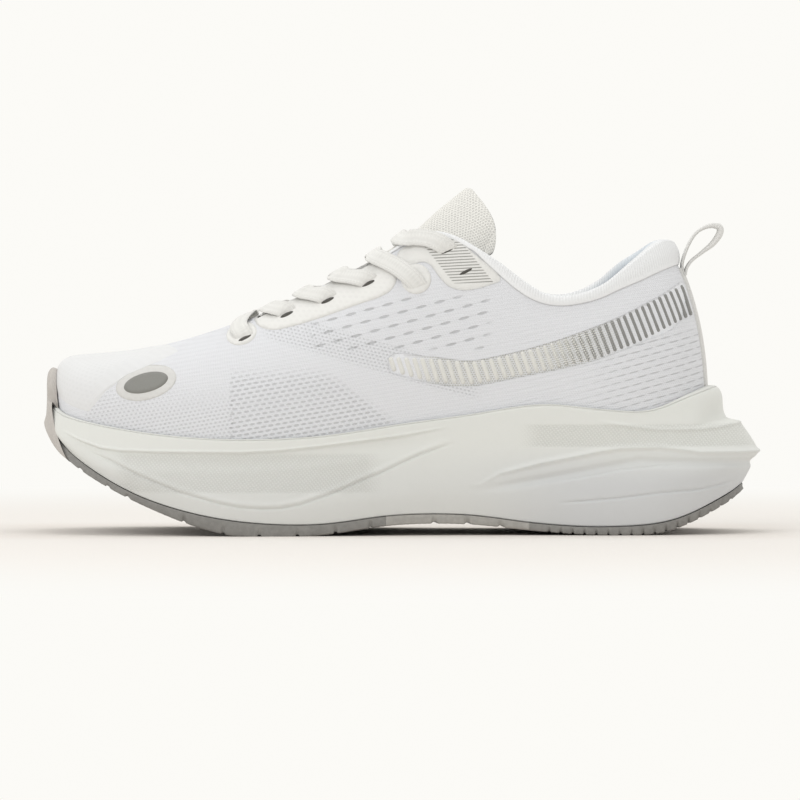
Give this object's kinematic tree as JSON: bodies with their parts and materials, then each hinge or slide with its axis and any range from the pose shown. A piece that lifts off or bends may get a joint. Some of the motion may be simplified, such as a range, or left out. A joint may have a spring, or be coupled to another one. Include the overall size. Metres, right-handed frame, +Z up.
{
  "type": "running shoe",
  "caption": "Low running shoe with a knitted upper, flat laces, a padded collar and tongue, a pull loop and a thick foam sole with a rubber tread.",
  "frame": {"origin": "on the ground under the middle of the shoe's bounding box", "axes": "-X towards the toe, +X towards the heel, -Y towards the outer side of this left shoe, +Z up"},
  "size_m": [0.3001, 0.1124, 0.144],
  "materials": {
    "rubber": "matt moulded rubber",
    "rubber_pale": "matt moulded rubber",
    "foam": "moulded foam with a fine texture",
    "board": "stitched nonwoven board",
    "insole": "knit-faced foam",
    "lace": "flat woven lace",
    "mesh": "engineered knit with small holes",
    "stiffener": "thermoformed sheet",
    "padding": "soft foam",
    "lining": "ribbed knit lining",
    "film": "thin welded film",
    "band": "raised printed bars",
    "reflective": "plain reflective film",
    "webbing": "woven webbing",
    "tongue": "perforated padded knit",
    "aglet": "clear-coated plastic"
  },
  "bodies": {
    "shoe": {"outsole_forefoot": "rubber", "outsole_arch": "rubber_pale", "outsole_heel_lateral": "rubber", "outsole_heel_medial": "rubber", "midsole": "foam", "strobel_board": "board", "insole": "insole", "lace": "lace", "upper_mesh": "mesh", "toe_puff": "stiffener", "heel_counter": "stiffener", "collar_padding": "padding", "collar_lining": "lining", "eyestay_lateral": "film", "front_eyelet_tab_lateral": "film", "middle_eyelet_tab_lateral": "film", "heel_lock_panel_lateral": "film", "side_band_lateral": "band", "eyestay_medial": "film", "front_eyelet_tab_medial": "film", "middle_eyelet_tab_medial": "film", "heel_lock_panel_medial": "film", "side_band_medial": "band", "toe_cap_film": "film", "toe_patch": "reflective", "backstay": "webbing", "tongue_body": "tongue", "aglet_lateral": "aglet", "aglet_medial": "aglet"},
    "tongue_end": {"tongue_flap": "tongue"},
    "heel_loop": {"pull_loop": "webbing"}
  },
  "joints": [
    {"name": "tongue_end_bend", "type": "hinge", "parent": "shoe", "child": "tongue_end", "pos_m": [0.00735, 0.001, 0.12821], "axis": [0, 1, 0], "range_deg": [-35, 15], "stiffness_Nm_per_rad": 0.06},
    {"name": "pull_loop_bend", "type": "hinge", "parent": "shoe", "child": "heel_loop", "pos_m": [0.1196, 0, 0.1105], "axis": [0, 1, 0], "range_deg": [-20, 45], "stiffness_Nm_per_rad": 0.03}
  ]
}
